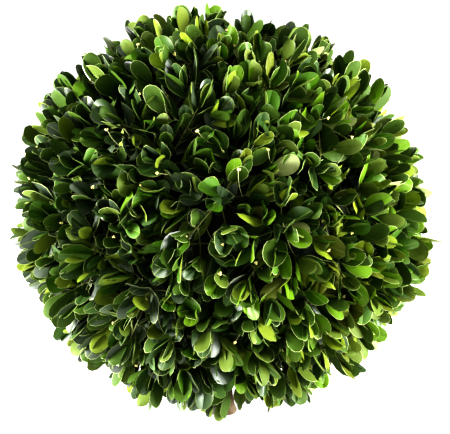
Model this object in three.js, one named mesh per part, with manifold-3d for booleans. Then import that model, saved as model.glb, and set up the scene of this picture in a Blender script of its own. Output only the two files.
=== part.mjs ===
// A box ball, rooted in level ground. A short stem rises inside the ball from a flat cut at the ground,
// and five boughs leave it. The stem's tip and the boughs each carry one of six masses of foliage, which
// together close into one ball. Each mass is a patch of dense inner growth, with twigs that branch by a
// seeded rule and pairs of leaves that stand out of it.
// Millimetres, +Z up. The origin is the middle of the flat cut under the stem.
import * as THREE from "three";
import { ConvexGeometry } from "three/addons/geometries/ConvexGeometry.js";
import { mergeVertices } from "three/addons/utils/BufferGeometryUtils.js";
import Module from "manifold-3d";

const wasm = await Module();
wasm.setup();

const { degToRad, lerp, clamp, smoothstep } = THREE.MathUtils;

// Driving dimensions of the ball.
const ballRadius = 140; // mean reach of the leaf tips from the ball's centre
const ballCentre = new THREE.Vector3(0, 0, 144);
const coreRadius = 106; // the dense growth that the twigs stand out of
const coreLump = 1; // height of each of three waves over that growth
const hollowRadius = 84; // the bare space inside, round the boughs
const clearance = 0.3; // between any two solids
const leastHeight = 1; // of any leaf above the ground

// The masses: one on top, and the rest side by side round the axis below it.
const sideMasses = 5;
const topHalfAngle = degToRad(52); // of the cone that the top mass fills
const sideElevation = degToRad(-12); // of the middle of a side mass

// The limbs.
const stemRadius = 8; // just above the flare
const stemTipRadius = 3.4;
const flareWidth = 4.5; // what the root flare adds at the ground
const flareHeight = 12; // over which the flare falls to about a third
const buttresses = 3;
const buttressDepth = 0.25; // of the flare
const stemLean = new THREE.Vector2(5, -4); // of its tip from its foot
const stemTop = 200;
const leanStart = 0.05; // share of the stem's height below which it stands upright
const leanEnd = 0.93; // and above which it does again
const lowestBough = 74; // height at which the first bough leaves the stem
const boughStep = 7; // between one bough and the next above it
const boughRadius = 4.2;
const boughTipRadius = 2.7;
const boughReach = 57; // from the ball's centre to a bough's tip
const boughEnd = 14; // length of the straight part at its tip
const boughSag = 6; // of its middle below a straight line
const massStemSink = 10; // depth of a mass's own stem in its dense growth
const stemHole = 4; // bare width round the stem where it passes the dense growth

// The twigs. Every other one is a main twig out of the dense growth, and each of the rest springs
// from the main twig nearest to it.
const twigCount = 94;
const mainTwigRadius = 2.2;
const sideTwigRadius = 1.6;
const twigTaper = 0.65; // of the radius that is left at a twig's tip
const twigSink = 8; // depth of a main twig's root in the dense growth
const forkReach = coreRadius + 5; // from the ball's centre to where a side twig springs
const tipReach = 123.5; // from the ball's centre to a twig's tip
const tipVariation = 3; // of that reach, either way
const twigLean = 0.2; // of a twig's leaves any way from straight outward, as a slope
const twigPull = 0.4; // how far they follow their twig's own direction

// The leaves, larger than life so that this many cover the ball. They stand on each twig in
// opposite pairs, the outermost first here.
const leafLength = 33;
const lengthVariation = 0.1; // of that, either way
const leafWidthShare = 0.58; // of its length
const leafDome = 1.4; // rise of the midrib above the margins
const leafSink = 0.35; // how far the leaf's foot runs past the middle of its twig
const leafPairs = [
  { depth: 1.5, opening: degToRad(50) },
  { depth: 5.5, opening: degToRad(55) },
  { depth: 10, opening: degToRad(63) },
];
const pairTurn = degToRad(63); // from one pair to the next
const openingVariation = degToRad(7);

// Places tried for a leaf before one that touches something is left out, and what each try changes.
const leafTries = 8;
const turnPerTry = 0.15; // either way
const closingPerTry = 0.05;
const shorteningPerTry = 0.04;

// What each throw of the dice is used for.
const throws = { reach: 1, leanLevel: 2, leanUpward: 3, turn: 4, opening: 5, length: 6, retry: 20 };
const seed = 2;
const goldenAngle = Math.PI * (3 - Math.sqrt(5));
const weld = 1e-4; // points nearer than this are one point
const flatness = 0.01; // kinks smaller than this are smoothed away

const leafGreen = new THREE.MeshStandardMaterial({ color: "#3f6a1c", roughness: 0.45, metalness: 0 });
const barkBrown = new THREE.MeshStandardMaterial({ color: "#6b5a45", roughness: 0.9, metalness: 0 });

// Chance that repeats: a number from 0 up to 1 worked out from two counts alone.
function dice(index, use) {
  let h = Math.imul(index + 1, 0x9e3779b1) ^ Math.imul(use + 1, 0x85ebca6b) ^ seed;
  h = Math.imul(h ^ (h >>> 16), 0x7feb352d);
  h = Math.imul(h ^ (h >>> 15), 0x846ca68b);
  return ((h ^ (h >>> 16)) >>> 0) / 2 ** 32;
}

// The same, from -1 up to 1.
const swing = (index, use) => 2 * dice(index, use) - 1;

// Direction number index of count that are spread evenly over a sphere on a golden-angle spiral.
function spiralDirection(index, count) {
  const height = 1 - (2 * index + 1) / count;
  const ring = Math.sqrt(1 - height * height);
  const turn = index * goldenAngle;
  return new THREE.Vector3(ring * Math.cos(turn), ring * Math.sin(turn), height);
}

// Two unit vectors square to a direction and to each other, the first of them level.
function squareTo(direction) {
  const level = new THREE.Vector3(-direction.y, direction.x, 0);
  if (level.lengthSq() < 1e-6) level.set(1, 0, 0);
  level.normalize();
  return [level, new THREE.Vector3().crossVectors(direction, level)];
}

const onBall = (direction, reach) => ballCentre.clone().addScaledVector(direction, reach);

// A three.js geometry as a solid that can be joined and cut.
function solidOf(geometry) {
  const bare = new THREE.BufferGeometry().setAttribute("position", geometry.getAttribute("position"));
  bare.setIndex(geometry.getIndex());
  const merged = mergeVertices(bare, weld);
  return new wasm.Manifold(
    new wasm.Mesh({
      numProp: 3,
      vertProperties: new Float32Array(merged.getAttribute("position").array),
      triVerts: new Uint32Array(merged.getIndex().array),
    }),
  );
}

// A solid as a named mesh, less any scrap or sealed hollow beside its largest body.
function meshOf(name, solid, material) {
  const bodies = solid.simplify(flatness).decompose();
  bodies.sort((a, b) => b.volume() - a.volume());
  const { vertProperties, triVerts } = bodies[0].getMesh();
  const geometry = new THREE.BufferGeometry();
  geometry.setAttribute("position", new THREE.BufferAttribute(vertProperties, 3));
  geometry.setIndex(new THREE.BufferAttribute(triVerts, 1));
  const mesh = new THREE.Mesh(geometry, material);
  mesh.name = name;
  return mesh;
}

// A limb along a curve: a cylinder whose rings are carried on to the curve. radiusAt gives the radius
// at a share of the way along and an angle round.
function limb(points, radiusAt, sides, steps) {
  const curve = new THREE.CatmullRomCurve3(points);
  const [across] = squareTo(new THREE.Vector3().subVectors(points.at(-1), points[0]).normalize());
  const cylinder = new THREE.CylinderGeometry(1, 1, 1, sides, steps);
  const position = cylinder.getAttribute("position");
  const round = new THREE.Vector3();
  for (let i = 0; i < position.count; i += 1) {
    round.fromBufferAttribute(position, i);
    const share = clamp(round.y + 0.5, 0, 1);
    const angle = Math.atan2(round.z, round.x);
    const radius = Math.hypot(round.x, round.z) * radiusAt(share, angle);
    const along = curve.getTangentAt(share);
    const side = across.clone().addScaledVector(along, -along.dot(across)).normalize();
    const other = new THREE.Vector3().crossVectors(side, along);
    const place = curve.getPointAt(share);
    place.addScaledVector(side, radius * Math.cos(angle)).addScaledVector(other, radius * Math.sin(angle));
    position.setXYZ(i, place.x, place.y, place.z);
  }
  return solidOf(cylinder);
}

// The stem's middle at a share of its height.
function stemMiddle(share) {
  const lean = smoothstep(share, leanStart, leanEnd);
  return new THREE.Vector3(stemLean.x * lean, stemLean.y * lean, stemTop * share);
}

// The stem, from its flat cut to its tip, with a flare of three low buttresses. grown widens it all
// round, for cutting what has to stay clear of it.
function stem(grown = 0) {
  const radiusAt = (share, angle) => {
    const taper = lerp(stemRadius, stemTipRadius, share);
    const flare = flareWidth * Math.exp((-share * stemTop) / flareHeight);
    return taper + flare * (1 + buttressDepth * Math.cos(buttresses * angle)) + grown;
  };
  const shares = [0, leanStart, 0.3, 0.5, 0.7, leanEnd, 1];
  return limb(shares.map(stemMiddle), radiusAt, 12, 10);
}

// The middle direction of a mass. Mass 0 is the top one.
function massDirection(mass) {
  if (mass === 0) return new THREE.Vector3(0, 0, 1);
  const azimuth = ((mass - 0.5) * 2 * Math.PI) / sideMasses;
  return new THREE.Vector3(
    Math.cos(sideElevation) * Math.cos(azimuth),
    Math.cos(sideElevation) * Math.sin(azimuth),
    Math.sin(sideElevation),
  );
}

// One bough, from the stem to its mass's own stem, rising first and then running straight out.
function bough(mass, widenedStem) {
  const away = massDirection(mass);
  const foot = stemMiddle((lowestBough + boughStep * (mass - 1)) / stemTop);
  const tip = onBall(away, boughReach);
  const beforeTip = onBall(away, boughReach - boughEnd);
  const knee = foot.clone().lerp(beforeTip, 0.5).add(new THREE.Vector3(0, 0, -boughSag));
  const radiusAt = (share) => lerp(boughRadius, boughTipRadius, share);
  return limb([foot, knee, beforeTip, tip], radiusAt, 6, 7).subtract(widenedStem);
}

// The stem of a mass, from just clear of the limb that carries it into the mass's dense growth.
function massStem(mass) {
  const away = massDirection(mass);
  const foot = onBall(away, boughReach + clearance);
  if (mass === 0) foot.copy(stemMiddle(1)).add(new THREE.Vector3(0, 0, clearance));
  const radius = mass === 0 ? stemTipRadius : boughTipRadius;
  const length = hollowRadius + massStemSink - foot.distanceTo(ballCentre);
  const end = foot.clone().addScaledVector(away, length);
  return limb([foot, end], (share) => radius * (1 - 0.2 * share), 6, 1);
}

// The dense growth of all the masses as one thick shell, lumpy outside, before it is parted.
function coreShell() {
  const outer = new THREE.IcosahedronGeometry(coreRadius, 4);
  const position = outer.getAttribute("position");
  const point = new THREE.Vector3();
  for (let i = 0; i < position.count; i += 1) {
    point.fromBufferAttribute(position, i).normalize();
    const waves = Math.sin(7 * point.x + 1) + Math.sin(8 * point.y + 2) + Math.sin(9 * point.z + 3);
    point.multiplyScalar(coreRadius + coreLump * (waves - 1));
    position.setXYZ(i, point.x, point.y, point.z);
  }
  outer.translate(...ballCentre);
  const inner = new THREE.IcosahedronGeometry(hollowRadius, 1).translate(...ballCentre);
  return solidOf(outer).subtract(solidOf(inner)).subtract(stem(stemHole));
}

// The cone that parts the top mass's core from the others, with its point raised by lift.
function topCone(lift) {
  const far = 2 * ballRadius;
  const profile = [
    new THREE.Vector2(0, 0),
    new THREE.Vector2(far * Math.tan(topHalfAngle), far),
    new THREE.Vector2(0, far),
  ];
  const cone = new THREE.LatheGeometry(profile, 30).rotateX(Math.PI / 2);
  return solidOf(cone.translate(0, 0, ballCentre.z + lift));
}

// The upright wedge that holds a side mass's core.
function sideWedge(mass) {
  const half = Math.PI / sideMasses;
  const far = 2 * ballRadius;
  const point = clearance / 2 / Math.sin(half);
  const outline = new THREE.Shape([
    new THREE.Vector2(point, 0),
    new THREE.Vector2(point + far * Math.cos(half), -far * Math.sin(half)),
    new THREE.Vector2(point + far * Math.cos(half), far * Math.sin(half)),
  ]);
  const wedge = new THREE.ExtrudeGeometry(outline, { depth: 2 * ballCentre.z, bevelEnabled: false });
  return solidOf(wedge.rotateZ((mass - 0.5) * 2 * half));
}

// The dense growth of one mass.
function core(mass, shell) {
  const lift = clearance / 2 / Math.sin(topHalfAngle);
  if (mass === 0) return shell.intersect(topCone(lift));
  return shell.intersect(sideWedge(mass)).subtract(topCone(-lift));
}

// The direction at an angle down from straight up and an angle round.
function fromAngles(polar, azimuth) {
  const ring = Math.sin(polar);
  return new THREE.Vector3(ring * Math.cos(azimuth), ring * Math.sin(azimuth), Math.cos(polar));
}

// The mass that a direction from the ball's centre falls in, and that direction moved in from the
// mass's edges, so that a main twig's root stays in its own core.
function placeInMass(direction) {
  const margin = (2 * mainTwigRadius) / coreRadius;
  const polar = Math.acos(direction.z);
  const azimuth = (Math.atan2(direction.y, direction.x) + 2 * Math.PI) % (2 * Math.PI);
  if (polar < topHalfAngle) {
    return { mass: 0, direction: fromAngles(Math.min(polar, topHalfAngle - margin), azimuth) };
  }
  const sector = (2 * Math.PI) / sideMasses;
  const mass = 1 + Math.floor(azimuth / sector);
  const edge = Math.min(margin / Math.sin(polar), sector / 2);
  const kept = clamp(azimuth, (mass - 1) * sector + edge, mass * sector - edge);
  return { mass, direction: fromAngles(Math.max(polar, topHalfAngle + margin), kept) };
}

// A three-sided twig between two points.
function twig(from, to, fromRadius, toRadius) {
  const along = new THREE.Vector3().subVectors(to, from).normalize();
  const [side, other] = squareTo(along);
  const corners = [0, 1, 2].flatMap((corner) => {
    const round = (corner * 2 * Math.PI) / 3;
    const out = side.clone().multiplyScalar(Math.cos(round)).addScaledVector(other, Math.sin(round));
    return [from.clone().addScaledVector(out, fromRadius), to.clone().addScaledVector(out, toRadius)];
  });
  return solidOf(new ConvexGeometry(corners));
}

// A leaf of eight faces: its foot, its tip and two points of each margin. The midrib runs above the
// margins, and the tip lies a little below the foot.
function leaf(foot, along, up, length) {
  const across = new THREE.Vector3().crossVectors(up, along);
  const place = (share, width, drop) =>
    foot
      .clone()
      .addScaledVector(along, share * length - leafSink)
      .addScaledVector(across, 0.5 * width * leafWidthShare * length)
      .addScaledVector(up, -drop * leafDome);
  return solidOf(
    new ConvexGeometry([
      place(0, 0, 0),
      place(0.42, 1, 1),
      place(0.82, 0.74, 1),
      place(1, 0, 0.4),
      place(0.82, -0.74, 1),
      place(0.42, -1, 1),
    ]),
  );
}

// The solids of the foliage so far, each with its mass and its twig, so that no mass touches another
// or a limb, and no leaf touches another twig or its leaves.
class Growth {
  constructor(limbs) {
    this.pieces = [];
    limbs.forEach((solid) => this.add({ solid }));
  }

  add({ solid, mass, twig }) {
    const { min, max } = solid.boundingBox();
    this.pieces.push({ solid, mass, twig, min, max });
  }

  // Adds a piece where it is clear of all others but those of the same kin, "mass" or "twig".
  tryToAdd(piece, kin) {
    const { min, max } = piece.solid.boundingBox();
    const overlaps = (other, k) => other.min[k] < max[k] + clearance && other.max[k] > min[k] - clearance;
    const near = (other) => [0, 1, 2].every((k) => overlaps(other, k));
    const touches = (other) => other.solid.minGap(piece.solid, 2 * clearance) < clearance;
    const blocks = (other) => other[kin] !== piece[kin] && near(other) && touches(other);
    const clear = min[2] >= leastHeight && !this.pieces.some(blocks);
    if (clear) this.add(piece);
    return clear;
  }

  joined(mass) {
    const mine = this.pieces.filter((piece) => piece.mass === mass);
    return wasm.Manifold.union(mine.map((piece) => piece.solid));
  }
}

// The twigs, each with its mass, its two ends and the direction in which its leaves point.
function twigList() {
  const directions = Array.from({ length: twigCount }, (_, i) => spiralDirection(i, twigCount));
  const mains = directions.filter((_, i) => i % 2 === 0).map(placeInMass);
  return directions.map((spot, index) => {
    const isMain = index % 2 === 0;
    const nearer = (a, b) => (b.direction.dot(spot) > a.direction.dot(spot) ? b : a);
    const { mass, direction } = isMain ? mains[index / 2] : mains.reduce(nearer);
    const from = onBall(direction, isMain ? coreRadius - twigSink : forkReach);
    const reach = tipReach + tipVariation * swing(index, throws.reach);
    const tip = onBall(isMain ? direction : spot, reach);
    const [level, upward] = squareTo(spot);
    const axis = spot
      .clone()
      .addScaledVector(new THREE.Vector3().subVectors(tip, from).normalize(), twigPull)
      .addScaledVector(level, twigLean * swing(index, throws.leanLevel))
      .addScaledVector(upward, twigLean * swing(index, throws.leanUpward))
      .normalize();
    return { index, isMain, mass, from, tip, axis };
  });
}

// One pair of leaves of a twig, turned from the pair beyond it. A leaf that would touch another twig's
// growth is turned, closed and shortened a little at each try, and in the end left out.
function addPair(growth, { index, mass, from, tip, axis }, pair) {
  const [side, other] = squareTo(axis);
  const { depth, opening } = leafPairs[pair];
  const foot = tip.clone().addScaledVector(new THREE.Vector3().subVectors(from, tip).normalize(), depth);
  [0, 1].forEach((half) => {
    const number = 2 * (index * leafPairs.length + pair) + half;
    for (let attempt = 0; attempt < leafTries; attempt += 1) {
      const turn = turnPerTry * attempt * swing(number, throws.retry + attempt);
      const round = Math.PI * (2 * dice(index, throws.turn) + half) + pair * pairTurn + turn;
      const open = opening + openingVariation * swing(number, throws.opening) - closingPerTry * attempt;
      const out = side.clone().multiplyScalar(Math.cos(round)).addScaledVector(other, Math.sin(round));
      const ahead = axis.clone().multiplyScalar(Math.cos(open)).addScaledVector(out, Math.sin(open));
      const up = axis.clone().multiplyScalar(Math.sin(open)).addScaledVector(out, -Math.cos(open));
      const grown = 1 + lengthVariation * swing(number, throws.length) - shorteningPerTry * attempt;
      const solid = leaf(foot, ahead, up, leafLength * grown);
      if (growth.tryToAdd({ solid, mass, twig: index }, "twig")) break;
    }
  });
}

// The masses of foliage, from the top one on.
function foliage(limbs) {
  const growth = new Growth(limbs);
  const shell = coreShell();
  for (let mass = 0; mass <= sideMasses; mass += 1) {
    growth.add({ solid: core(mass, shell), mass });
    growth.add({ solid: massStem(mass), mass });
  }
  const twigs = twigList().filter(({ index, isMain, mass, from, tip }) => {
    const radius = isMain ? mainTwigRadius : sideTwigRadius;
    const solid = twig(from, tip, radius, twigTaper * radius);
    return growth.tryToAdd({ solid, mass, twig: index }, "mass");
  });
  leafPairs.forEach((_, pair) => twigs.forEach((each) => addPair(growth, each, pair)));
  return Array.from({ length: sideMasses + 1 }, (_, mass) => growth.joined(mass));
}

const part = new THREE.Group();
part.name = "box_topiary_ball";

const stemSolid = stem();
const widenedStem = stem(clearance);
const boughs = Array.from({ length: sideMasses }, (_, i) => bough(i + 1, widenedStem));
part.add(meshOf("stem", stemSolid, barkBrown));
boughs.forEach((solid, i) => part.add(meshOf(`bough_${i + 1}`, solid, barkBrown)));
foliage([stemSolid, ...boughs]).forEach((solid, mass) => {
  const name = mass === 0 ? "foliage_top" : `foliage_side_${mass}`;
  part.add(meshOf(name, solid, leafGreen));
});

export default part;
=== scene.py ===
"""A box topiary ball: thousands of small glossy leaves in opposite pairs, on shoots that branch from
the twigs of a dense inner growth, round a short stem and its boughs.

The growth follows the same rule as the part's source, written again here and carried on to finer
shoots with leaves of about life size. All lengths are in millimetres, as in the source, until MM
turns them into metres."""

import bpy
import numpy as np
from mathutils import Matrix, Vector


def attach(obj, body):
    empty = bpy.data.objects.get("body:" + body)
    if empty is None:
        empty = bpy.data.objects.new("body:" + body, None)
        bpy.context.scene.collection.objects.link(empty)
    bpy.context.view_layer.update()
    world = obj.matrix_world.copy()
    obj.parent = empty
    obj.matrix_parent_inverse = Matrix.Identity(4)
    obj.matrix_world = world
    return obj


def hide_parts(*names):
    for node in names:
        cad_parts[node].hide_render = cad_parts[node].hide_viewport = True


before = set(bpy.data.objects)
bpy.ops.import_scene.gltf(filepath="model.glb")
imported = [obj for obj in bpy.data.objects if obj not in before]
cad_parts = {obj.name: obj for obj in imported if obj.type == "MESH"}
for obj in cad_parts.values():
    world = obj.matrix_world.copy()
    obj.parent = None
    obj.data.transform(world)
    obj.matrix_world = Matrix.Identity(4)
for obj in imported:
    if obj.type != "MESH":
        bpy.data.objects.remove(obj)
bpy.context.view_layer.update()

MM = 0.001

# The ball, as in the source.
ball_centre = np.array([0.0, 0.0, 144.0])
core_radius = 106.0
side_masses = 5
top_half_angle = np.radians(52.0)
side_elevation = np.radians(-12.0)
seed = 2
golden_angle = np.pi * (3.0 - np.sqrt(5.0))

# The stem and its boughs, as in the source.
stem_radius = 8.0
stem_tip_radius = 3.4
flare_width = 4.5
flare_height = 12.0
buttresses = 3
buttress_depth = 0.25
stem_lean = np.array([5.0, -4.0])
stem_top = 200.0
lean_start = 0.05
lean_end = 0.93
lowest_bough = 74.0
bough_step = 7.0
bough_radius = 4.2
bough_tip_radius = 2.7
bough_reach = 57.0
bough_end = 14.0
bough_sag = 6.0

# A bough's collar where it leaves the stem: what it adds to the radius, and how far it runs.
bough_collar = 1.6
bough_collar_length = 1.4 * stem_radius

# The branches that carry on from the stem and the boughs inside each mass: how far from the ball's
# middle they end, how deep they start in the limb before them, and how much thinner they grow. The
# thinner ones to the main twigs spring from between two shares of a branch's length, bulge outward
# at their middle and end in the inner growth, a small share of the way short of a twig's foot.
branch_reach = 94.0
branch_sink = 3.0
branch_taper = 0.35
branchlet_spring = (0.2, 0.9)
branchlet_radius = 1.8
branchlet_bulge = 12.0
branchlet_gap = 0.02

# How finely limbs and growth are drawn: the points along each one and the sides round it.
stem_grid = (160, 64)
bough_grid = (72, 28)
branch_grid = (6, 10)
branchlet_grid = (9, 8)
twig_grid = (4, 8)
shoot_grid = (7, 6)
stalk_grid = (9, 5)
inner_growth_grid = (60, 120)
bead_sides = 6

# The bark's relief: shallow cracks between small plates that are longer than they are wide. Cracks
# and plates each come from a number of waves.
plate_width = 5.0
plate_stretch = 0.35
plate_relief = 0.3
plate_waves = 5
crack_depth = 0.45
crack_share = 0.22
crack_waves = 7

# The distances over which the tones of the bark and of the dead growth inside drift.
bark_tone = 6.25
dead_growth_tone = 25.0 / 3.0
tone_roughness = 0.6

# How much the waves of a smooth pattern differ in length, as a share of it, and in phase.
wave_variation = 0.3
wave_phase = 5.0

# A direction counts as upright where its level part is shorter than this.
nearly_upright = 1e-3

# The twigs, as in the source, but drawn slimmer to suit the smaller leaves.
twig_count = 94
main_twig_radius = 2.2
side_twig_radius = 1.6
twig_taper = 0.65
twig_slimness = 0.32
twig_sink = 8.0
fork_reach = core_radius + 5.0
twig_reach = 123.5
twig_variation = 3.0
twig_lean = 0.2
twig_pull = 0.4

# The finer shoots that the twigs carry. Their reach varies by chance and by a broad swell, and a
# few of them stray further.
shoot_count = 690
shoot_reach = 118.2
shoot_variation = 9.0
broad_swell = 6.0
swell_length = 210.0
swell_waves = 7
swell_phase = 4.44
stray_share = 0.08
stray_reach = 8.0
shoot_lean = 0.24
shoot_pull = 0.2
shoot_spring = (0.25, 0.9)
shoot_radius = 0.6
shoot_taper = 0.55

# The ball is clipped flatter at its top, more so between two heights in shares of its radius. At its
# foot the leaves, which stand out beyond the shoots' tips, end a little above the ground.
top_flattening = 4.5
flat_start = 0.8
flat_end = 0.97
foot_gap = 3.0
tip_overhang = 16.0
least_fall = 0.1

# How far back from its tip a growth bends, as a share of the way from its foot to its tip.
shoot_elbow = 0.55
twig_elbow = 0.5

# The leaves of a shoot, in opposite pairs that each stand square to the next, from the tip inwards.
# None stands lower than lowest_leaf, as a share of the way from the shoot's foot to its tip.
pair_depths = (0.5, 5.5, 12.5)
pair_openings = np.radians([6.0, 15.0, 27.0])
pair_lengths = (18.5, 22.0, 23.5)
length_variation = 0.24
opening_variation = np.radians(13.0)
turn_variation = np.radians(20.0)
roll_variation = np.radians(24.0)
lowest_leaf = 0.05

# Leaves stay above the ground, and clear of the stem up to a height.
least_height = 1.5
stem_room = 14.0
stem_room_height = 60.0

# The leaf's outline, and how its surface bends. Shares of its width or its length.
leaf_width_share = 0.51
width_variation = 0.1
base_narrowing = 0.3
widest_outline = 0.845
typical_length = 23.0
margin_width = 0.22
midrib_width = 0.45
leaf_thickness = 0.4
rim_thickness = 0.15
arch = 0.06
fold = (-0.25, 0.2)
edge_droop = 0.1
edge_wave = 0.04
edge_wave_count = 1.3
tip_bend = (-0.06, 0.22)
tip_bend_power = 1.5
notch_depth = 0.03
notch_width = 0.22
notch_power = 6

# Where the inner rows and columns of a leaf's grid lie, from its middle (0) to its edge (1).
inner_row = 0.5
inner_column = 0.45

# The older leaves close over the inner growth shade it. Each is set back by a share of their usual
# length.
inner_leaf_count = 640
inner_reach = 106.0
inner_reach_variation = 4.0
inner_length = 20.0
inner_opening = np.radians(30.0)
inner_opening_variation = 2.0 * opening_variation
inner_foot_share = 0.3

# How much of a leaf's shade its whole spray shares, how much fresher it is for its side of the ball,
# and where that side's pull ends. Leaves grow lighter and yellower to the right and greyer and darker
# to the left; this is partly their own colour, and partly painted light on the right and painted shade
# on the left. The inner leaves are no fresher than the second upper shade, partly for their age and
# partly as painted shade in the gaps.
spray_share = 0.35
side_freshness_and_painted_light = 0.36
side_limit = 0.75
most_luck = 0.999
freshest_inner_shade = 1

# The dense growth of fine dead twigs inside, seen only as darkness between the leaves. Its near-black
# colour is painted shade for the deep shadow inside the ball.
inner_growth_radius = 99.0
inner_growth_lumps = 3.0
broad_lumps = {"weight": 0.6, "length": 30.0, "waves": 9}
fine_lumps = {"weight": 0.4, "length": 11.0, "waves": 11}

# The pale buds and clipped ends are beads: rings at these places along them, with these radii, both
# as shares of a bead's own radius. A bead starts a little below the tip that it sits on.
bud_count = 260
bud_radius = 0.9
bud_size = (0.7, 1.3)
bead_places = np.array([-0.2, 0.3, 1.3, 2.1, 2.5])
bead_widths = np.array([0.35, 0.8, 1.0, 0.65, 0.2])

# Thin dry stalks that wander out between the leaves, each with the three horns of a spent seed
# capsule at its end.
stalk_count = 150
stalk_radius = 0.2
stalk_foot = 110.0
stalk_foot_variation = 4.0
stalk_length = 21.0
stalk_length_variation = 0.3
stalk_lean = 0.8
stalk_bend = 9.0
capsule_horns = 3
horn_spread = 0.9
horn_size = 0.75

# The camera looks along +Y from a little above. It is framed so that the ball lies in the picture as
# it does in the photograph: its middle left of and above the picture's.
camera_distance = 1200.0
camera_elevation = np.radians(10.0)
camera_lens = 139.3
camera_sensor = 36.0
furthest_seen = 200000.0
middle_to_left = 3.4
middle_upwards = 5.9

# The soft lights are square and stand the same way off, within even light from all round. The white
# table reaches this far to each side, and glows so that it shows as pure white.
light_distance = 1100.0
light_size = 500.0
sky_strength = 0.57
table_half = 30000.0
table_glow = 0.56

# What chance decides, each with a number that dice mixes in.
chances = {
    "reach": 1,
    "lean level": 2,
    "lean upward": 3,
    "turn": 4,
    "opening": 5,
    "length": 6,
    "width": 7,
    "roll": 8,
    "bend": 9,
    "notch": 10,
    "shade": 11,
    "spring": 12,
    "fold": 14,
    "margin": 15,
    "midrib": 16,
    "underside": 17,
    "stray": 18,
    "wave": 19,
}


def dice(index, use):
    """Chance that repeats, from 0 up to 1: the source's rule, two counts mixed as 32-bit numbers. The
    long constants and the shifts only spread the bits."""
    mixed = (np.asarray(index).astype(np.uint32) + np.uint32(1)) * np.uint32(0x9E3779B1)
    mixed = mixed ^ np.uint32(((chances[use] + 1) * 0x85EBCA6B) & 0xFFFFFFFF) ^ np.uint32(seed)
    mixed = (mixed ^ (mixed >> np.uint32(16))) * np.uint32(0x7FEB352D)
    mixed = (mixed ^ (mixed >> np.uint32(15))) * np.uint32(0x846CA68B)
    return (mixed ^ (mixed >> np.uint32(16))) / 2.0**32


def swing(index, use):
    """The same chance, from -1 up to 1."""
    return 2.0 * dice(index, use) - 1.0


def unit(vectors):
    """Each vector over its own length."""
    return vectors / np.linalg.norm(vectors, axis=-1, keepdims=True)


def smooth_step(value, start, end):
    """0 before start, 1 after end, and 3 s squared minus 2 s cubed between them."""
    share = np.clip((value - start) / (end - start), 0.0, 1.0)
    return share * share * (3.0 - 2.0 * share)


def spiral_directions(count):
    """Directions spread evenly over a sphere: each is one golden angle on and one step down."""
    index = np.arange(count)
    height = 1.0 - (2.0 * index + 1.0) / count
    ring = np.sqrt(1.0 - height**2)
    turn = index * golden_angle
    return np.stack([ring * np.cos(turn), ring * np.sin(turn), height], axis=-1)


def square_to(directions):
    """Two unit vectors square to each direction and to each other, the first of them level. A
    direction straight up or down has +X for the first."""
    x, y = directions[..., 0], directions[..., 1]
    level = np.stack([-y, x, np.zeros_like(x)], axis=-1)
    upright = np.linalg.norm(level, axis=-1, keepdims=True) < nearly_upright
    level = unit(np.where(upright, [1.0, 0.0, 0.0], level))
    return level, np.cross(directions, level)


def turned(vectors, axes, angles):
    """Vectors square to their axes, turned about them: v cos a + (axis x v) sin a."""
    angles = angles[:, None]
    return vectors * np.cos(angles) + np.cross(axes, vectors) * np.sin(angles)


def from_angles(polar, azimuth):
    """The direction at an angle down from straight up and an angle round."""
    ring = np.sin(polar)
    return np.stack([ring * np.cos(azimuth), ring * np.sin(azimuth), np.cos(polar)], axis=-1)


def on_ball(directions, reach):
    """The points at a distance from the ball's centre."""
    return ball_centre + directions * np.asarray(reach)[..., None]


def place_in_mass(directions):
    """The mass of each direction, and the direction moved in from that mass's edges by the width of
    a main twig."""
    margin = 2.0 * main_twig_radius / core_radius
    polar = np.arccos(directions[:, 2])
    azimuth = np.arctan2(directions[:, 1], directions[:, 0]) % (2.0 * np.pi)
    sector = 2.0 * np.pi / side_masses
    mass = 1 + np.floor(azimuth / sector).astype(int)
    edge = np.minimum(margin / np.sin(polar), sector / 2.0)
    kept = np.clip(azimuth, (mass - 1) * sector + edge, mass * sector - edge)
    side = from_angles(np.maximum(polar, top_half_angle + margin), kept)
    top = from_angles(np.minimum(polar, top_half_angle - margin), azimuth)
    is_top = polar < top_half_angle
    return np.where(is_top, 0, mass), np.where(is_top[:, None], top, side)


def mass_direction(mass):
    """The way that the branch into a mass takes: straight up, or out through a sector's middle."""
    azimuth = (mass - 0.5) * 2.0 * np.pi / side_masses
    aside = from_angles(np.full_like(azimuth, np.pi / 2 - side_elevation), azimuth)
    return np.where((mass == 0)[..., None], [0.0, 0.0, 1.0], aside)


def leaned(spots, foot, tip, pull, lean):
    """The direction of a growth's leaves: out from the ball, pulled along the growth's own line, and
    tilted by chance."""
    index = np.arange(len(spots))
    level, upward = square_to(spots)
    axis = spots + pull * unit(tip - foot)
    axis = axis + lean * swing(index, "lean level")[:, None] * level
    axis = axis + lean * swing(index, "lean upward")[:, None] * upward
    return unit(axis)


def top_lowering(directions):
    """How much nearer to the ball's middle growth ends at its top, which is clipped flatter: the
    flattening times a smooth step of the direction's height."""
    return top_flattening * smooth_step(directions[:, 2], flat_start, flat_end)


def make_twigs():
    """The source's twigs. Every other one is a main twig out of the inner growth, and each of the
    rest forks from the main twig nearest to it."""
    spots = spiral_directions(twig_count)
    index = np.arange(twig_count)
    is_main = index % 2 == 0
    main_mass, main_direction = place_in_mass(spots[is_main])
    carrier = np.where(is_main, index // 2, np.argmax(spots @ main_direction.T, axis=1))
    direction = main_direction[carrier]
    foot = on_ball(direction, np.where(is_main, core_radius - twig_sink, fork_reach))
    outward = np.where(is_main[:, None], direction, spots)
    tip = on_ball(outward, twig_reach + twig_variation * swing(index, "reach"))
    axis = leaned(spots, foot, tip, twig_pull, twig_lean)
    return {"mass": main_mass[carrier], "main": is_main, "foot": foot, "tip": tip, "axis": axis}


def reach_above_ground(directions):
    """How far growth may reach toward the ground, with room for the leaves beyond its tip: the height
    of the ball's middle less the gap, over the direction's fall, less the leaves. A fall of less
    than least_fall counts as that."""
    fall = np.maximum(-directions[:, 2], least_fall)
    return (ball_centre[2] - foot_gap) / fall - tip_overhang


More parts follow.
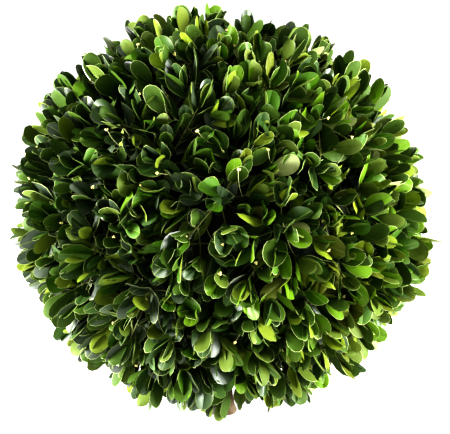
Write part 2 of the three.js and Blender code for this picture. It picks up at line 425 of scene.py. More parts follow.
def elbow_before(foot, tip, axis, share):
    """Where a growth bends: back from its tip along its axis, by a share of the way from its foot."""
    return tip - share * np.linalg.norm(tip - foot, axis=1, keepdims=True) * axis


def make_shoots(twigs):
    """The finer shoots, by the same rule once more: each springs from the twig whose tip is nearest,
    some way along it, and bends round until it points along its own axis."""
    spots = spiral_directions(shoot_count)
    index = np.arange(shoot_count)
    carrier = np.argmax(spots @ unit(twigs["tip"] - ball_centre).T, axis=1)
    low, high = shoot_spring
    share = (low + (high - low) * dice(index, "spring"))[:, None]
    foot = twigs["foot"][carrier] * (1.0 - share) + twigs["tip"][carrier] * share
    reach = shoot_reach + shoot_variation * swing(index, "reach")
    swell = waves(spots * core_radius, swell_length, swell_waves, swell_phase)
    reach = reach + broad_swell * swell + stray_reach * (dice(index, "stray") < stray_share)
    reach = np.minimum(reach - top_lowering(spots), reach_above_ground(spots))
    tip = on_ball(spots, reach)
    axis = leaned(spots, foot, tip, shoot_pull, shoot_lean)
    elbow = elbow_before(foot, tip, axis, shoot_elbow)
    return {"mass": twigs["mass"][carrier], "foot": foot, "elbow": elbow, "tip": tip}


def twig_ends(twigs):
    """The twigs as shoots, so that they carry leaves too: each bends toward its own axis, and those at
    the ball's top are drawn back."""
    foot = twigs["foot"]
    way = unit(twigs["tip"] - ball_centre)
    tip = twigs["tip"] - top_lowering(way)[:, None] * way
    elbow = elbow_before(foot, tip, twigs["axis"], twig_elbow)
    return {"mass": twigs["mass"], "foot": foot, "elbow": elbow, "tip": tip}


def curve(foot, elbow, tip, share):
    """A point at a share of the way along each curve, (1-s)(1-s) foot + 2s(1-s) elbow + s s tip, and
    the curve's direction there."""
    share = share[..., None]
    point = (1.0 - share) ** 2 * foot + 2.0 * share * (1.0 - share) * elbow + share**2 * tip
    along = (1.0 - share) * (elbow - foot) + share * (tip - elbow)
    return point, unit(along)


def leaf_disc():
    """A leaf's upper surface as a square grid squeezed into a disc, ring by ring, so that its
    outermost ring of cells is a margin of even width. The point (a, b) goes to the ring of radius
    max(|a|, |b|), at an eighth of a turn times the smaller over the larger. Returns the disc's along
    and across, from -1 to 1, as grids."""
    half_length = typical_length / 2.0
    half_width = half_length * leaf_width_share
    row = 1.0 - margin_width / half_length
    column = 1.0 - margin_width / half_width
    rib = midrib_width / 2.0 / half_width
    a, b = np.meshgrid(
        [-1.0, -row, -inner_row, 0.0, inner_row, row, 1.0],
        [-1.0, -column, -inner_column, -rib, 0.0, rib, inner_column, column, 1.0],
        indexing="ij",
    )
    is_lengthwise = np.abs(a) >= np.abs(b)
    larger = np.where(is_lengthwise, a, b)
    smaller = np.where(is_lengthwise, b, a)
    angle = np.pi / 4.0 * smaller / np.where(larger == 0.0, 1.0, larger)
    longer, shorter = larger * np.cos(angle), larger * np.sin(angle)
    along = np.where(is_lengthwise, longer, shorter)
    across = np.where(is_lengthwise, shorter, longer)
    return along, across


def underside_points(rows, columns):
    """Which points of the grid the underside repeats: the ring just inside the rim, and the midrib."""
    repeats = np.zeros((rows, columns), bool)
    repeats[1:-1, 1:-1] = True
    repeats[2:-2, 2:-2] = False
    repeats[2:-2, columns // 2] = True
    return repeats.ravel()


def leaf_faces(along, across):
    """The faces of one leaf. Above, the outermost ring of cells is the margin and the two middle
    columns are the midrib. Below, the margin's ring comes again, from the rim to the underside's own
    ring, and the rest spans from that ring to the midrib. Returns the faces of four corners with what
    each is (0 upper, 1 margin, 2 midrib, 3 underside), those of six corners, and which points lie on
    the rim."""
    rows, columns = along.shape
    number = np.arange(rows * columns).reshape(rows, columns)
    middle = columns // 2
    repeats = underside_points(rows, columns)
    lower = rows * columns + np.cumsum(repeats) - 1
    rim = np.ones((rows, columns), bool)
    rim[1:-1, 1:-1] = False
    rim = rim.ravel()
    upper = np.stack([number[:-1, :-1], number[1:, :-1], number[1:, 1:], number[:-1, 1:]], axis=-1)
    upper = upper.reshape(-1, 4)
    kind = np.ones((rows - 1, columns - 1), int)
    kind[1:-1, 1:-1] = 0
    kind[1:-1, middle - 1 : middle + 1] = 2
    margin = upper[kind.ravel() == 1]
    margin_below = np.where(rim[margin], margin, lower[margin])
    start, end = number[2:-3], number[3:-2]
    strips = [
        np.stack([start[:, side], end[:, side], end[:, middle], start[:, middle]], axis=-1)
        for side in (1, -2)
    ]
    ends = []
    for row, inner in ((1, 2), (-2, -3)):
        left = [*number[row, middle:0:-1], number[inner, 1], number[inner, middle]]
        right = [*number[row, middle:-1], number[inner, -2], number[inner, middle]]
        ends += [left, right]
    plan = np.stack([along.ravel(), across.ravel()], axis=-1)
    plan = np.concatenate([plan, plan[repeats]])
    strips = lower[np.concatenate(strips)]
    fours = np.concatenate([upper, margin_below, strips])
    kinds = np.concatenate([kind.ravel(), np.full(len(margin_below), 1), np.full(len(strips), 3)])
    fours = wound(fours, plan, np.arange(len(fours)) < len(upper))
    sixes = wound(lower[np.array(ends)], plan, np.zeros(len(ends), bool))
    on_rim = np.concatenate([rim, np.zeros(repeats.sum(), bool)])
    return fours, kinds, sixes, on_rim


def wound(faces, plan, upwards):
    """The faces, each turned over where needed, so that it faces up or down as told. A face looks
    up where its area in plan, half the sum of x y' - x' y round its corners, is above zero."""
    x, y = plan[faces, 0], plan[faces, 1]
    area = np.sum(x * np.roll(y, -1, axis=1) - np.roll(x, -1, axis=1) * y, axis=1)
    return np.where(((area > 0.0) == upwards)[:, None], faces, faces[:, ::-1])


def leaf_points(foot, ahead, up, length, index):
    """The points of many leaves, as an array of leaf, point and axis.

    In its own plan a leaf is the disc, drawn out to its length and width and narrowed toward its
    foot by a power of the share s of the way along it. Its height is the sum of five bends: an arch
    in each half between midrib and edge, which fades toward both ends, so that the midrib lies in a
    shallow groove; a fold that rises or falls evenly from the midrib to both edges; edges that droop
    by the square of the way across; a tip that bends down by the square of s; and a sine wave along
    the leaf, which grows from the midrib by the square of the way across. A power of chance makes
    strong bends rarer than slight ones. Some tips are notched. Each point of the underside lies
    lower than its twin above by the thickness, which falls toward the rim by the square of the
    distance from the leaf's middle."""
    along, across = leaf_disc()
    grid = along.shape
    along, across = along.ravel(), across.ravel()
    share = (1.0 + along) / 2.0
    length = length[:, None]
    width = length * leaf_width_share * (1.0 + width_variation * swing(index, "width")[:, None])
    narrowing = share**base_narrowing / widest_outline
    low, high = tip_bend
    bend = low + (high - low) * dice(index, "bend")[:, None] ** tip_bend_power
    low, high = fold
    folding = low + (high - low) * dice(index, "fold")[:, None]
    wave = dice(index, "wave")[:, None]
    notch = notch_depth * np.maximum(swing(index, "notch"), 0.0)[:, None]
    dent = np.exp(-((across / notch_width) ** 2)) * share**notch_power
    x = length * (share - notch * dent)
    y = width / 2.0 * across * narrowing
    arches = 1.0 - (2.0 * np.abs(across) - 1.0) ** 2
    z = arch * width * arches * (1.0 - along**4)
    z = z + folding * width * np.abs(across)
    z = z - edge_droop * width * across**2
    z = z - bend * length * share**2
    turns = edge_wave_count * share + wave
    z = z + edge_wave * width * across**2 * np.sin(2.0 * np.pi * turns)
    repeats = underside_points(*grid)
    thickness = leaf_thickness - (leaf_thickness - rim_thickness) * (along**2 + across**2)[repeats]
    x = np.concatenate([x, x[:, repeats]], axis=1)
    y = np.concatenate([y, y[:, repeats]], axis=1)
    z = np.concatenate([z, z[:, repeats] - thickness], axis=1)
    side = np.cross(up, ahead)
    parts = ((x, ahead), (y, side), (z, up))
    return foot[:, None, :] + sum(value[:, :, None] * axis[:, None, :] for value, axis in parts)


def shoot_leaves(shoots):
    """Three pairs of leaves on each shoot, each pair square to the next, opening wider and standing
    further back the older it is. A leaf points ahead by cos(opening) along the shoot and
    sin(opening) out from it, with its upper side toward the shoot's tip, then rolls a little about
    its own length."""
    count = len(shoots["foot"])
    pairs = len(pair_depths)
    shoot, pair, half = (part.ravel() for part in np.indices((count, pairs, 2)))
    index = np.arange(len(shoot))
    foot, elbow, tip = (shoots[name][shoot] for name in ("foot", "elbow", "tip"))
    reach = np.linalg.norm(elbow - foot, axis=1) + np.linalg.norm(tip - elbow, axis=1)
    depth = np.array(pair_depths)[pair]
    place, axis = curve(foot, elbow, tip, np.clip(1.0 - depth / reach, lowest_leaf, 1.0))
    level, upward = square_to(axis)
    turn = 2.0 * np.pi * dice(shoot, "turn") + np.pi * half + np.pi / 2.0 * pair
    turn = turn + turn_variation * swing(index, "turn")
    out = np.cos(turn)[:, None] * level + np.sin(turn)[:, None] * upward
    opening = np.array(pair_openings)[pair] + opening_variation * swing(index, "opening")
    opening = opening[:, None]
    ahead = np.cos(opening) * axis + np.sin(opening) * out
    up = np.sin(opening) * axis - np.cos(opening) * out
    up = turned(up, ahead, roll_variation * swing(index, "roll"))
    length = np.array(pair_lengths)[pair] * (1.0 + length_variation * swing(index, "length"))
    return {
        "foot": place,
        "ahead": ahead,
        "up": up,
        "length": length,
        "mass": shoots["mass"][shoot],
        "spray": shoot,
        "age": pair,
    }


def inner_leaves():
    """Single older leaves close over the inner growth, turned every way."""
    spots = spiral_directions(inner_leaf_count)
    index = np.arange(inner_leaf_count)
    mass, _ = place_in_mass(spots)
    level, upward = square_to(spots)
    turn = 2.0 * np.pi * dice(index, "turn")[:, None]
    out = np.cos(turn) * level + np.sin(turn) * upward
    opening = (inner_opening + inner_opening_variation * swing(index, "opening"))[:, None]
    ahead = np.cos(opening) * spots + np.sin(opening) * out
    up = np.sin(opening) * spots - np.cos(opening) * out
    middle = on_ball(spots, inner_reach + inner_reach_variation * swing(index, "reach"))
    return {
        "foot": middle - inner_foot_share * inner_length * ahead,
        "ahead": ahead,
        "up": turned(up, ahead, roll_variation * swing(index, "roll")),
        "length": inner_length * (1.0 + length_variation * swing(index, "length")),
        "mass": mass,
        "spray": shoot_count + index,
        "age": np.full(inner_leaf_count, len(pair_depths)),
    }


def dealt(shares, chance):
    """The place in a list that chance falls on, when each entry has its share of the whole."""
    steps = np.cumsum(shares) / np.sum(shares)
    return np.minimum(np.searchsorted(steps, chance), len(shares) - 1)


def shade_leaves(leaves, rightward):
    """The materials of each leaf's upper side, margin, midrib and underside, as places in the list of
    leaf materials. Rightward is how far along +X each leaf stands.

    A leaf's luck is its spray's chance and its own, each by its share, plus
    side_freshness_and_painted_light times its place across the ball: greyer and older to the left of
    the camera, fresher to the right, which is partly painted light on the right and painted shade on
    the left. Luck past either end counts as that end. The leaves stand in the order of their luck, and
    each upper shade takes its share of that order."""
    index = np.arange(len(rightward))
    toward_right = np.clip(rightward / core_radius, -side_limit, side_limit)
    own = (1.0 - spray_share) * dice(index, "shade")
    luck = spray_share * dice(leaves["spray"], "shade") + own
    luck = np.clip(luck + side_freshness_and_painted_light * toward_right, 0.0, most_luck)
    rank = np.empty(len(index))
    rank[np.argsort(luck)] = index / len(index)
    upper = dealt([share for *_, share in upper_shades], rank)
    # The inner leaves take only the old or deep shades, partly for their age and partly as painted
    # shade deep in the ball.
    is_inner = leaves["age"] == len(pair_depths)
    upper = np.where(is_inner, np.minimum(upper, freshest_inner_shade), upper)
    skins = (
        (margin_shades_and_edge_light, bare_margins, "margin"),
        (midrib_shades, bare_midribs, "midrib"),
        (under_shades, 0, "underside"),
    )
    places = [upper]
    first = len(upper_shades)
    for shades, bare, use in skins:
        skin = dealt([share for *_, share in shades] + [bare], dice(index, use))
        places.append(np.where(skin == len(shades), upper, first + skin))
        first += len(shades)
    return np.stack(places, axis=-1)


def tubes(path, radius, sides):
    """Round tubes with closed ends, one along each row of points. A ring's points stand at
    path + radius (cos t side + sin t other), where side and other are square to the path there.
    Radius is an array of tube, point and, where the section isn't round, side."""
    count, steps, _ = path.shape
    tangent = unit(np.gradient(path, axis=1))
    chord = unit(path[:, -1] - path[:, 0])
    level, _ = square_to(chord)
    other = unit(np.cross(tangent, level[:, None, :]))
    side = np.cross(other, tangent)
    angle = np.arange(sides) * 2.0 * np.pi / sides
    radius = radius if radius.ndim == 3 else radius[..., None]
    radius = np.broadcast_to(radius, (count, steps, sides))
    cosine, sine = np.cos(angle)[:, None], np.sin(angle)[:, None]
    spoke = cosine * side[:, :, None, :] + sine * other[:, :, None, :]
    rings = path[:, :, None, :] + radius[..., None] * spoke
    points = np.concatenate([rings.reshape(count, -1, 3), path[:, :1], path[:, -1:]], axis=1)
    ring = np.arange(steps * sides).reshape(steps, sides)
    after = np.roll(ring, -1, axis=1)
    walls = np.stack([ring[:-1], after[:-1], after[1:], ring[1:]], axis=-1).reshape(-1, 4)
    foot_cap = np.stack([np.full(sides, steps * sides), after[0], ring[0]], axis=-1)
    tip_cap = np.stack([np.full(sides, steps * sides + 1), ring[-1], after[-1]], axis=-1)
    return points, walls, np.concatenate([foot_cap, tip_cap])


def repeated(faces, count, points_each):
    """One thing's faces, repeated for each of many things whose points follow each other."""
    first = np.arange(count)[:, None, None] * points_each
    return (faces[None] + first).reshape(-1, faces.shape[1])


def join_tubes(groups):
    """Several sets of tubes as one list of points and of faces by number of corners."""
    all_points, all_fours, all_threes = [], [], []
    start = 0
    for points, fours, threes in groups:
        count, each, _ = points.shape
        all_points.append(points.reshape(-1, 3))
        all_fours.append(repeated(fours, count, each) + start)
        all_threes.append(repeated(threes, count, each) + start)
        start += count * each
    return np.concatenate(all_points), [np.concatenate(all_fours), np.concatenate(all_threes)]


def waves(points, length, count, phase_step=wave_phase):
    """A smooth pattern from about -1 to 1: the mean of sine waves in count directions, each a little
    longer or shorter than length and one step of phase on from the last, raised by the square root
    of count."""
    directions = spiral_directions(count)
    lengths = length * (1.0 + wave_variation * np.sin(2.0 * np.arange(count)))
    phase = phase_step * np.arange(count)
    sines = np.sin(2.0 * np.pi * points @ directions.T / lengths + phase)
    return sines.mean(axis=-1) * np.sqrt(count)


def bark_relief(points):
    """How far the bark stands in or out: even plates, parted by cracks where a smooth pattern that is
    stretched along the stem passes through zero."""
    stretched = points * np.array([1.0, 1.0, plate_stretch])
    pattern = waves(stretched, 2.0 * plate_width, crack_waves)
    cracks = np.exp(-((pattern / crack_share) ** 2))
    return crack_depth * (plate_relief * waves(points, plate_width, plate_waves) - cracks)


def limb(path, radius, sides):
    """One limb: a tube along a row of points whose wall then stands in or out by the bark's
    relief. The end rings keep their size, so the foot stays flat."""
    round_points, _, _ = tubes(path[None], radius[None], sides)
    relief = bark_relief(round_points[0, : path.shape[0] * sides]).reshape(path.shape[0], sides)
    relief[[0, -1]] = 0.0
    points, fours, threes = tubes(path[None], radius[None] + relief[None], sides)
    return join_tubes([(points, fours, threes)])


def stem_middle(share):
    """The stem's middle line: straight up, then leaning over by a smooth step."""
    lean = smooth_step(share, lean_start, lean_end)[..., None]
    return np.concatenate([lean * stem_lean, (share * stem_top)[..., None]], axis=-1)


def stem_shape():
    """The stem: its radius falls evenly to the tip, over a foot that flares out by a falling power
    and swells into three buttresses."""
    steps, sides = stem_grid
    share = np.linspace(0.0, 1.0, steps)
    angle = np.arange(sides) * 2.0 * np.pi / sides
    height = share * stem_top
    swell = 1.0 + buttress_depth * np.cos(buttresses * angle)
    flare = flare_width * np.exp(-height / flare_height)[:, None] * swell
    radius = (stem_radius + (stem_tip_radius - stem_radius) * share)[:, None] + flare
    return limb(stem_middle(share), radius, sides)


def bough_shape(mass):
    """A bough: a smooth curve through its foot in the stem, a sagging knee, a last bend and its tip,
    with a collar that widens where it leaves the stem. Between two of the points the curve is the
    cubic whose slope at each point is half the step between that point's neighbours."""
    away = mass_direction(np.array(mass))
    foot = stem_middle(np.array((lowest_bough + bough_step * (mass - 1)) / stem_top))
    last_bend = on_ball(away, bough_reach - bough_end)
    knee = (foot + last_bend) / 2.0 - np.array([0.0, 0.0, bough_sag])
    tip = on_ball(away, bough_reach)
    knots = np.stack([foot, knee, last_bend, tip])
    slopes = np.gradient(knots, axis=0)
    steps, sides = bough_grid
    share = np.linspace(0.0, 1.0, steps)
    place = share * (len(knots) - 1)
    before = np.minimum(place.astype(int), len(knots) - 2)
    s = (place - before)[:, None]
    rise = s * s * (3.0 - 2.0 * s)
    path = knots[before] * (1.0 - rise) + knots[before + 1] * rise
    path = path + slopes[before] * s * (1.0 - s) ** 2 - slopes[before + 1] * s * s * (1.0 - s)
    away_from_stem = np.linalg.norm(path - foot, axis=1)
    collar = bough_collar * np.exp(-((away_from_stem / bough_collar_length) ** 4))
    radius = bough_radius + (bough_tip_radius - bough_radius) * share + collar
    return limb(path, np.repeat(radius[:, None], sides, axis=1), sides)


def curved_tubes(foot, elbow, tip, radii, grid):
    """Tubes along many curves, whose radius runs evenly from the first of two radii to the other."""
    steps, sides = grid
    share = np.tile(np.linspace(0.0, 1.0, steps), (len(foot), 1))
    path, _ = curve(foot[:, None], elbow[:, None], tip[:, None], share)
    return tubes(path, np.tile(np.linspace(*radii, steps), (len(foot), 1)), sides)


def straight_tubes(foot, tip, radius, taper, grid):
    """Tubes along many straight lines, foot + s (tip - foot), each with its own radius, which is
    multiplied by 1 - taper s."""
    steps, sides = grid
    share = np.linspace(0.0, 1.0, steps)
    path = foot[:, None] + share[:, None] * (tip - foot)[:, None]
    return tubes(path, radius[:, None] * (1.0 - taper * share), sides)


def twig_shapes(twigs, shoots):
    """All that carries leaves, from the boughs' tips out: a branch into each mass, a thinner branch
    from it to each main twig, the twigs, and the fine shoots."""
    mass = np.arange(side_masses + 1)
    way = mass_direction(mass)
    start = on_ball(way, bough_reach - branch_sink)
    start[0] = stem_middle(np.array(1.0)) - [0.0, 0.0, branch_sink]
    end = on_ball(way, branch_reach)
    thick = np.where(mass == 0, stem_tip_radius, bough_tip_radius)
    branches = straight_tubes(start, end, thick, branch_taper, branch_grid)

    main = twigs["main"]
    owner = twigs["mass"][main]
    low, high = branchlet_spring
    spring = (low + (high - low) * dice(np.arange(main.sum()), "spring"))[:, None]
    foot = start[owner] * (1.0 - spring) + end[owner] * spring
    tip = twigs["foot"][main] * (1.0 - branchlet_gap) + ball_centre * branchlet_gap
    elbow = (foot + tip) / 2.0 + branchlet_bulge * unit(tip - ball_centre)
    radii = (branchlet_radius, twig_slimness * main_twig_radius)
    branchlets = curved_tubes(foot, elbow, tip, radii, branchlet_grid)

    thick = twig_slimness * np.where(main, main_twig_radius, side_twig_radius)
    grown = straight_tubes(twigs["foot"], twigs["tip"], thick, 1.0 - twig_taper, twig_grid)

    bends = (shoots[name] for name in ("foot", "elbow", "tip"))
    fine = curved_tubes(*bends, (shoot_radius, shoot_radius * shoot_taper), shoot_grid)
    return join_tubes([branches, branchlets, grown, fine])


def inner_growth_shape():
    """The inner growth's outside: a closed sphere of rings whose radius swells and sinks by two smooth
    patterns, a broad one and a fine one."""
    rings, sides = inner_growth_grid
    polar = np.pi * (np.arange(rings) + 0.5) / rings
    azimuth = 2.0 * np.pi * np.arange(sides) / sides
    directions = from_angles(*np.meshgrid(polar, azimuth, indexing="ij"))
    poles = np.array([[0.0, 0.0, 1.0], [0.0, 0.0, -1.0]])
    directions = np.concatenate([directions.reshape(-1, 3), poles])
    places = directions * inner_growth_radius
    lumps = sum(
        pattern["weight"] * waves(places, pattern["length"], pattern["waves"])
        for pattern in (broad_lumps, fine_lumps)
    )
    points = on_ball(directions, inner_growth_radius + inner_growth_lumps * lumps)
    ring = np.arange(rings * sides).reshape(rings, sides)
    after = np.roll(ring, -1, axis=1)
    walls = np.stack([ring[:-1], ring[1:], after[1:], after[:-1]], axis=-1).reshape(-1, 4)
    top = np.stack([np.full(sides, rings * sides), ring[0], after[0]], axis=-1)
    foot = np.stack([np.full(sides, rings * sides + 1), after[-1], ring[-1]], axis=-1)
    return points, [walls, np.concatenate([top, foot])]


def make_stalks():
    """The dry stalks: each starts over the inner growth and leans over by chance, with an elbow that
    stands out from its middle to one side."""
    spots = spiral_directions(stalk_count)
    index = np.arange(stalk_count)
    level, upward = square_to(spots)
    turn = 2.0 * np.pi * dice(index, "turn")[:, None]
    aside = np.cos(turn) * level + np.sin(turn) * upward
    way = unit(spots + stalk_lean * aside)
    foot = on_ball(spots, stalk_foot + stalk_foot_variation * swing(index, "reach"))
    length = stalk_length * (1.0 + stalk_length_variation * swing(index, "length"))
    tip = foot + length[:, None] * way
    elbow = (foot + tip) / 2.0 + stalk_bend * swing(index, "bend")[:, None] * np.cross(way, aside)
    return {"foot": foot, "elbow": elbow, "tip": tip}


def stalk_shapes(stalks):
    """The dry stalks as thin tubes along their curves."""
    bends = (stalks[name] for name in ("foot", "elbow", "tip"))
    return join_tubes([curved_tubes(*bends, (stalk_radius, stalk_radius), stalk_grid)])


def bud_shapes(shoots, stalks):
    """Small pale buds and clipped ends at the tips of shoots, and the horns of the seed capsules at
    the ends of stalks, spread evenly round the stalk. All are beads, about a third longer than wide
    and drawn in at both ends."""
    chosen = (np.arange(bud_count) * shoot_count) // bud_count
    stalk, horn = (part.ravel() for part in np.indices((stalk_count, capsule_horns)))
    stalk_way = unit(stalks["tip"] - stalks["elbow"])[stalk]
    level, _ = square_to(stalk_way)
    turn = 2.0 * np.pi * (horn / capsule_horns + dice(stalk, "roll"))
    horn_way = unit(stalk_way + horn_spread * turned(level, stalk_way, turn))
    tip = np.concatenate([shoots["tip"][chosen], stalks["tip"][stalk]])
    axis = np.concatenate([unit(shoots["tip"] - shoots["elbow"])[chosen], horn_way])
    index = np.arange(len(tip))
    low, high = bud_size
    size = low + (high - low) * dice(index, "length")
    size = bud_radius * size * np.where(index < bud_count, 1.0, horn_size)
    path = tip[:, None] + (size[:, None] * bead_places)[:, :, None] * axis[:, None]
    return join_tubes([tubes(path, size[:, None] * bead_widths, bead_sides)])


def linear(hex_colour):
    """An sRGB hex colour as linear values, by the sRGB standard's curve, with full opacity."""
    value = np.array([int(hex_colour[start : start + 2], 16) for start in (1, 3, 5)]) / 255.0
    value = np.where(value <= 0.04045, value / 12.92, ((value + 0.055) / 1.055) ** 2.4)
    return (*value.tolist(), 1.0)


def new_material(name, colour, roughness, **inputs):
    """A material with plain values on its shader's sockets."""
    material = bpy.data.materials.new(name)
    material.use_nodes = True
    shader = material.node_tree.nodes["Principled BSDF"]
    shader.inputs["Base Color"].default_value = linear(colour)
    shader.inputs["Roughness"].default_value = roughness
    for socket, value in inputs.items():
        shader.inputs[socket.replace("_", " ")].default_value = value
    material.diffuse_color = linear(colour)
    return material


def add_node(material, kind, settings=(), links=()):
    """Adds one node, with its settings (attributes or socket values by name) and its links, each as
    (socket of this node, node, socket of that node)."""
    node = material.node_tree.nodes.new(kind)
    for name, value in dict(settings).items():
        if name in node.inputs:
            node.inputs[name].default_value = value
        else:
            setattr(node, name, value)
    for socket, other, other_socket in links:
        material.node_tree.links.new(other.outputs[other_socket], node.inputs[socket])
    return node


def mottled(material, tone, detail, colours):
    """Colours that drift over a surface: noise with one wave to each tone's size, through a ramp of
    (place, colour), into the base colour."""
    place = add_node(material, "ShaderNodeTexCoord")
    noise = add_node(
        material,
        "ShaderNodeTexNoise",
        {"Scale": 1.0 / (tone * MM), "Detail": detail, "Roughness": tone_roughness},
        [("Vector", place, "Object")],
    )
    ramp = add_node(material, "ShaderNodeValToRGB", links=[("Fac", noise, "Fac")])
    stops = ramp.color_ramp.elements
    for stop, (position, colour) in zip((stops[0], stops[1]), (colours[0], colours[-1])):
        stop.position = position
        stop.color = linear(colour)
    for position, colour in colours[1:-1]:
        stops.new(position).color = linear(colour)
    shader = material.node_tree.nodes["Principled BSDF"]
    material.node_tree.links.new(ramp.outputs["Color"], shader.inputs["Base Color"])
    return material


def add_piece(name, points, faces, slots, materials, record_slot, nodes):
    """A piece of the part, at the origin with its place in its mesh. Faces come as one array for each
    number of corners, and slots give each face's material."""
    corners = np.concatenate([part.ravel() for part in faces])
    sizes = np.concatenate([np.full(len(part), part.shape[1]) for part in faces])
    mesh = bpy.data.meshes.new(name)
    mesh.vertices.add(len(points))
    mesh.vertices.foreach_set("co", (points * MM).ravel())
    mesh.loops.add(len(corners))
    mesh.loops.foreach_set("vertex_index", corners)
    mesh.polygons.add(len(sizes))
    mesh.polygons.foreach_set("loop_start", np.cumsum(sizes) - sizes)
    mesh.polygons.foreach_set("material_index", np.broadcast_to(slots, len(sizes)).astype(np.int32))
    mesh.polygons.foreach_set("use_smooth", np.ones(len(sizes), bool))
    mesh.update(calc_edges=True)
    mesh.validate()
    for material in materials:
        mesh.materials.append(material)
    piece = bpy.data.objects.new(name, mesh)
    bpy.context.scene.collection.objects.link(piece)
    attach(piece, "root")
    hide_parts(*nodes)
    return piece


def mark_rims(piece, on_rim):
    """Marks the edges along the leaves' rims as sharp, so that the shading breaks there and the thin
    margin stays crisp. Each leaf's points follow each other in the order of on_rim."""
    mesh = piece.data
    ends = np.zeros(2 * len(mesh.edges), np.int32)
    mesh.edges.foreach_get("vertices", ends)
    is_rim = on_rim[ends.reshape(-1, 2) % len(on_rim)].all(axis=1)
    mesh.edges.foreach_set("use_edge_sharp", is_rim)


# Box leaves are leathery with a waxy skin: a deep green that is glossy but never mirror-like, so the
# eye gets soft sheens. The wax is thickest on old leaves. Shades run from old grey-green leaves to
# young yellow-green ones, each with its colour, roughness, wax and share of the leaves. A leaf's
# other skins have no wax, only a faint sheen.
wax_sheen = 0.6
wax_roughness = 0.5
plain_sheen = 0.3
upper_shades = (
    ("old box leaf", "#2c3b22", 0.47, 0.9, 18),
    ("deep box leaf", "#2e4716", 0.43, 0.85, 27),
    ("full box leaf", "#416112", 0.40, 0.5, 26),
    ("fresh box leaf", "#5b7918", 0.40, 0.4, 15),
    ("young box leaf", "#7e8e30", 0.42, 0.3, 7),
    ("olive box leaf", "#5c6422", 0.46, 0.3, 5),
    ("dry box leaf", "#98a070", 0.5, 0.2, 2),
)
# The leaf's thin edge is a little paler in itself. Its colour is made paler still as a painted
# highlight for the light that the edge catches and lets through, which gives the eye a fine pale line
# round it. The bare share of leaves has an edge in the leaf's own shade. Each row ends in its share.
margin_shades_and_edge_light = (("pale leaf margin with painted edge light", "#b6c08a", 0.45, 4), ("dull leaf margin with painted edge light", "#828c56", 0.5, 4))
bare_margins = 3
# The midrib shows as a fine pale line on about half of the leaves, and the rest have it bare.
midrib_shades = (("pale leaf midrib", "#78844a", 0.5, 1),)
bare_midribs = 1
# The underside has no wax: matt, and paler and yellower than the top, as box undersides are, and a
# little more as painted light for the glow through the leaf.
under_shades = (
    ("pale leaf underside", "#5f6f30", 0.6, 2),
    ("green leaf underside", "#42581e", 0.6, 5),
    ("yellow leaf underside", "#6c7a2a", 0.6, 1),
)

upper_materials = [
    new_material(
        name,
        colour,
        roughness,
        Specular_IOR_Level=wax_sheen * wax,
        Coat_Weight=wax,
        Coat_Roughness=wax_roughness,
    )
    for name, colour, roughness, wax, _ in upper_shades
]
plain_materials = [
    new_material(name, colour, roughness, Specular_IOR_Level=plain_sheen)
    for name, colour, roughness, _ in margin_shades_and_edge_light + midrib_shades + under_shades
]
leaf_materials = upper_materials + plain_materials
shoot_bark = new_material("green box shoot bark", "#565c30", 0.7)
bud_scale = new_material("pale box bud", "#d8cf8e", 0.6)
dry_stalk = new_material("dry box stalk", "#aeb082", 0.7)

# Box bark is corky and matt: pale grey-brown plates, darker in the cracks.
box_bark = mottled(
    new_material("corky box bark", "#6b5a45", 0.9),
    tone=bark_tone,
    detail=6.0,
    colours=((0.3, "#4a3c2c"), (0.5, "#6b5a45"), (0.7, "#8b7c66")),
)
# Dead leaves and twigs pack the inside, matt, and coloured near-black as painted shade for the deep
# shadow there.
dead_growth_in_painted_shade = mottled(
    new_material("dead inner growth in painted shade", "#171c0d", 0.95),
    tone=dead_growth_tone,
    detail=5.0,
    colours=((0.3, "#0d1208"), (0.6, "#1c2410"), (0.8, "#2a2414")),
)

foliage_nodes = ["foliage_top"] + [f"foliage_side_{mass + 1}" for mass in range(side_masses)]
leaf_piece_names = [node.replace("foliage", "leaves") for node in foliage_nodes]

twigs = make_twigs()
shoots = make_shoots(twigs)
ends = twig_ends(twigs)
all_shoots = {name: np.concatenate([shoots[name], ends[name]]) for name in shoots}
growths = (shoot_leaves(all_shoots), inner_leaves())
leaves = {name: np.concatenate([growth[name] for growth in growths]) for name in growths[0]}
index = np.arange(len(leaves["length"]))
points = leaf_points(leaves["foot"], leaves["ahead"], leaves["up"], leaves["length"], index)
lowest, highest = points[..., 2].min(axis=1), points[..., 2].max(axis=1)
from_stem = np.linalg.norm(points[..., :2], axis=-1).min(axis=1)
keep = (lowest > least_height) & ((from_stem > stem_room) | (highest > stem_room_height))
leaf_slots = shade_leaves(leaves, points[:, 0, 0])

fours, kinds, sixes, on_rim = leaf_faces(*leaf_disc())
for mass, name in enumerate(leaf_piece_names):
    chosen = keep & (leaves["mass"] == mass)
    count = chosen.sum()
    slots = leaf_slots[chosen]
    face_slots = [slots[:, kinds].ravel(), np.repeat(slots[:, 3], len(sixes))]
    faces = [repeated(part, count, points.shape[1]) for part in (fours, sixes)]
    piece = add_piece(
        name,
        points[chosen].reshape(-1, 3),
        faces,
        np.concatenate(face_slots),
        leaf_materials,
        "foliage",
        [foliage_nodes[mass]],
    )
    mark_rims(piece, on_rim)

add_piece("twigs", *twig_shapes(twigs, shoots), 0, [shoot_bark], "bark", foliage_nodes)
stalks = make_stalks()
add_piece("stalks", *stalk_shapes(stalks), 0, [dry_stalk], "foliage", foliage_nodes)
add_piece("buds", *bud_shapes(shoots, stalks), 0, [bud_scale], "foliage", foliage_nodes)
add_piece("inner_growth", *inner_growth_shape(), 0, [dead_growth_in_painted_shade], "foliage", foliage_nodes)
add_piece("stem_bark", *stem_shape(), 0, [box_bark], "bark", ["stem"])
for mass in range(1, side_masses + 1):
    add_piece(f"bough_bark_{mass}", *bough_shape(mass), 0, [box_bark], "bark", [f"bough_{mass}"])


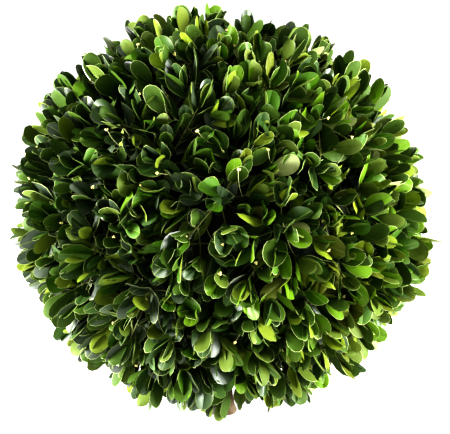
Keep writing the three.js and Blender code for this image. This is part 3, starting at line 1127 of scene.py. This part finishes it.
def soft_box(name, azimuth, elevation, power):
    """A large soft light that looks at the ball's middle from an angle round it and one up."""
    light = bpy.data.lights.new(name, "AREA")
    light.shape = "SQUARE"
    light.size = light_size * MM
    light.energy = power
    lamp = bpy.data.objects.new(name, light)
    bpy.context.scene.collection.objects.link(lamp)
    direction = from_angles(np.pi / 2 - np.radians(elevation), np.radians(azimuth))
    lamp.location = Vector(on_ball(direction, light_distance) * MM)
    lamp.rotation_euler = Vector(direction).to_track_quat("Z", "Y").to_euler()


def white_table():
    """The plain pale floor: a wide flat sheet of opal acrylic, lit from below as a shooting table is,
    so the ball's shadow on it stays faint."""
    corners = ((-1.0, -1.0), (1.0, -1.0), (1.0, 1.0), (-1.0, 1.0))
    mesh = bpy.data.meshes.new("white_table")
    points = [(x * table_half * MM, y * table_half * MM, 0.0) for x, y in corners]
    mesh.from_pydata(points, [], [(0, 1, 2, 3)])
    mesh.materials.append(
        new_material(
            "opal acrylic",
            "#a8a8a8",
            0.8,
            Emission_Color=linear("#ffffff"),
            Emission_Strength=table_glow,
        )
    )
    table = bpy.data.objects.new("white_table", mesh)
    bpy.context.scene.collection.objects.link(table)


def photo_camera():
    """The camera, at the photograph's angle and framing."""
    camera = bpy.data.objects.new("camera", bpy.data.cameras.new("camera"))
    bpy.context.scene.collection.objects.link(camera)
    backward = np.array([0.0, -np.cos(camera_elevation), np.sin(camera_elevation)])
    right = np.array([1.0, 0.0, 0.0])
    upward = np.cross(right, -backward)
    aim = ball_centre + middle_to_left * right - middle_upwards * upward
    camera.location = Vector((aim + camera_distance * backward) * MM)
    camera.rotation_euler = Vector(backward).to_track_quat("Z", "Y").to_euler()
    camera.data.lens = camera_lens
    camera.data.sensor_width = camera_sensor
    camera.data.clip_end = furthest_seen * MM
    bpy.context.scene.camera = camera


def even_light():
    """White light from all round, as in a white studio."""
    world = bpy.data.worlds.new("studio")
    world.use_nodes = True
    background = world.node_tree.nodes["Background"]
    background.inputs["Color"].default_value = linear("#ffffff")
    background.inputs["Strength"].default_value = sky_strength
    bpy.context.scene.world = world


white_table()
photo_camera()
soft_box("left_light", azimuth=-165.0, elevation=6.0, power=38.0)
soft_box("right_light", azimuth=-25.0, elevation=6.0, power=29.5)
soft_box("back_light", azimuth=90.0, elevation=30.0, power=9.0)
even_light()
bpy.context.scene.view_settings.view_transform = "Standard"
bpy.context.scene.view_settings.look = "Very High Contrast"
